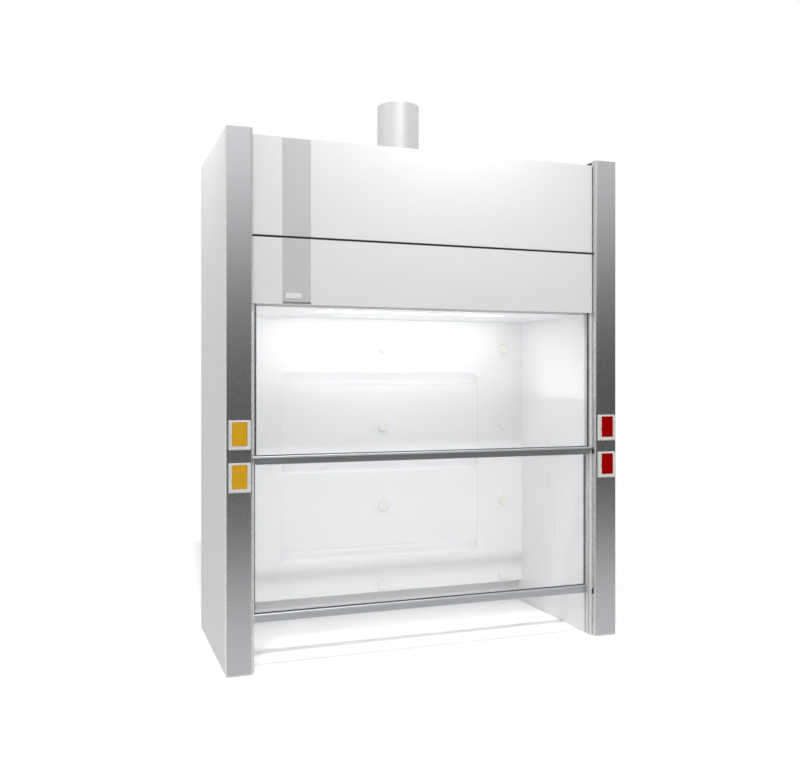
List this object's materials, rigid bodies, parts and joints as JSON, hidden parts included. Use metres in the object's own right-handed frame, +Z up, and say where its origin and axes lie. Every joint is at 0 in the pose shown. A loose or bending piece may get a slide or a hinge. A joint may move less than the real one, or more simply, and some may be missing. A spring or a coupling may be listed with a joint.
{
  "type": "walk-in fume hood",
  "caption": "Floor-standing walk-in fume hood with sliding glass sashes, slotted rear baffle, lit ceiling, aluminium posts with lidded power sockets and a round exhaust collar.",
  "frame": {"origin": "on the floor, under the middle of the whole object", "axes": "+X to the right seen from the front, +Y from the front to the back, +Z up"},
  "size_m": [1.8, 0.787, 2.5],
  "materials": {
    "white_coated_steel": "satin powder coat",
    "fascia_coat": "slightly glossy powder coat",
    "grey_plate": "satin",
    "brushed_aluminium": "brushed, anodised",
    "galvanised": "galvanised sheet",
    "steel": "plain steel",
    "white_laminate": "smooth laminate board",
    "cream_plastic": "moulded",
    "white_plastic": "moulded",
    "grey_plastic": "moulded",
    "black_rubber": "matte",
    "sash_glass": "clear safety glass",
    "lamp_window": "translucent diffuser",
    "led": "diffuser",
    "yellow_plastic": "moulded",
    "red_plastic": "moulded"
  },
  "bodies": {
    "cabinet": {"accent_strips": "grey_plate", "baffle_fixings": "cream_plastic", "baffle_panel": "white_laminate", "baffle_plates": "white_laminate", "baffle_spacers": "grey_plastic", "cable_wraps": "steel", "ceiling_panel": "white_laminate", "cross_beams": "steel", "exhaust_collar": "galvanised", "exhaust_plenum": "galvanised", "fascia_gasket": "black_rubber", "fascia_lower": "fascia_coat", "fascia_upper": "fascia_coat", "guide_track_left": "fascia_coat", "guide_track_right": "fascia_coat", "lamp_diffuser": "lamp_window", "lamp_housing": "galvanised", "led_bars": "led", "levelling_feet": "steel", "lid_pins": "steel", "lower_sash_cables": "steel", "lower_weight_cables": "steel", "name_plate": "white_coated_steel", "pulley_brackets": "steel", "rear_battens": "white_coated_steel", "rear_panel": "white_coated_steel", "roof_panel": "white_coated_steel", "sash_stops": "black_rubber", "service_post_left": "brushed_aluminium", "service_post_right": "brushed_aluminium", "side_frame_left": "steel", "side_frame_right": "steel", "side_liners": "white_laminate", "side_panel_left": "white_coated_steel", "side_panel_right": "white_coated_steel", "socket_frames": "white_plastic", "socket_inserts": "grey_plastic", "upper_sash_cables": "steel", "upper_weight_cables": "steel"},
    "upper_sash": {"upper_sash_rail": "brushed_aluminium", "upper_sash_frame": "brushed_aluminium", "upper_sash_glass": "sash_glass", "upper_sash_gasket": "black_rubber", "upper_sash_glides": "grey_plastic"},
    "upper_weights": {"upper_counterweights": "steel"},
    "upper_pulley_left": {"upper_pulley_left": "grey_plastic"},
    "upper_pulley_right": {"upper_pulley_right": "grey_plastic"},
    "lower_sash": {"lower_sash_rail": "brushed_aluminium", "lower_sash_frame": "brushed_aluminium", "lower_sash_glass": "sash_glass", "lower_sash_gasket": "black_rubber", "lower_sash_glides": "grey_plastic"},
    "lower_weights": {"lower_counterweights": "steel"},
    "lower_pulley_left": {"lower_pulley_left": "grey_plastic"},
    "lower_pulley_right": {"lower_pulley_right": "grey_plastic"},
    "lid_left_upper": {"socket_lid_left_upper": "yellow_plastic"},
    "lid_left_lower": {"socket_lid_left_lower": "yellow_plastic"},
    "lid_right_upper": {"socket_lid_right_upper": "red_plastic"},
    "lid_right_lower": {"socket_lid_right_lower": "red_plastic"}
  },
  "joints": [
    {"name": "upper_sash_slide", "type": "slide", "parent": "cabinet", "child": "upper_sash", "axis": [0, 0, 1], "range_m": [0, 0.616], "deforming": ["upper_sash_cables"]},
    {"name": "upper_weights_slide", "type": "slide", "parent": "cabinet", "child": "upper_weights", "axis": [0, 0, 1], "range_m": [-0.616, 0], "deforming": ["upper_weight_cables"]},
    {"name": "upper_pulley_left_spin", "type": "hinge", "parent": "cabinet", "child": "upper_pulley_left", "pos_m": [-0.812, -0.3325, 2.166], "axis": [0, 1, 0], "range_deg": [-1413, 0]},
    {"name": "upper_pulley_right_spin", "type": "hinge", "parent": "cabinet", "child": "upper_pulley_right", "pos_m": [0.812, -0.3325, 2.166], "axis": [0, 1, 0], "range_deg": [0, 1413]},
    {"name": "lower_sash_slide", "type": "slide", "parent": "cabinet", "child": "lower_sash", "axis": [0, 0, 1], "range_m": [0, 1.264], "deforming": ["lower_sash_cables"]},
    {"name": "lower_weights_slide", "type": "slide", "parent": "cabinet", "child": "lower_weights", "axis": [0, 0, 1], "range_m": [-1.264, 0], "deforming": ["lower_weight_cables"]},
    {"name": "lower_pulley_left_spin", "type": "hinge", "parent": "cabinet", "child": "lower_pulley_left", "pos_m": [-0.812, -0.3045, 2.166], "axis": [0, 1, 0], "range_deg": [-2898, 0]},
    {"name": "lower_pulley_right_spin", "type": "hinge", "parent": "cabinet", "child": "lower_pulley_right", "pos_m": [0.812, -0.3045, 2.166], "axis": [0, 1, 0], "range_deg": [0, 2898]},
    {"name": "lid_left_upper_hinge", "type": "hinge", "parent": "cabinet", "child": "lid_left_upper", "pos_m": [-0.8228, -0.3905, 0.97], "axis": [0, 0, 1], "range_deg": [0, 100], "stiffness_Nm_per_rad": 0.012, "springref_deg": -34.38},
    {"name": "lid_left_lower_hinge", "type": "hinge", "parent": "cabinet", "child": "lid_left_lower", "pos_m": [-0.8228, -0.3905, 0.799], "axis": [0, 0, 1], "range_deg": [0, 100], "stiffness_Nm_per_rad": 0.012, "springref_deg": -34.38},
    {"name": "lid_right_upper_hinge", "type": "hinge", "parent": "cabinet", "child": "lid_right_upper", "pos_m": [0.8732, -0.3905, 0.97], "axis": [0, 0, 1], "range_deg": [0, 100], "stiffness_Nm_per_rad": 0.012, "springref_deg": -34.38},
    {"name": "lid_right_lower_hinge", "type": "hinge", "parent": "cabinet", "child": "lid_right_lower", "pos_m": [0.8732, -0.3905, 0.799], "axis": [0, 0, 1], "range_deg": [0, 100], "stiffness_Nm_per_rad": 0.012, "springref_deg": -34.38}
  ],
  "couplings": [
    {"joint": "upper_weights_slide", "follows": "upper_sash_slide", "ratio": -1},
    {"joint": "upper_pulley_left_spin", "follows": "upper_sash_slide", "rad_per_m": -40},
    {"joint": "upper_pulley_right_spin", "follows": "upper_sash_slide", "rad_per_m": 40},
    {"joint": "lower_weights_slide", "follows": "lower_sash_slide", "ratio": -1},
    {"joint": "lower_pulley_left_spin", "follows": "lower_sash_slide", "rad_per_m": -40},
    {"joint": "lower_pulley_right_spin", "follows": "lower_sash_slide", "rad_per_m": 40}
  ]
}
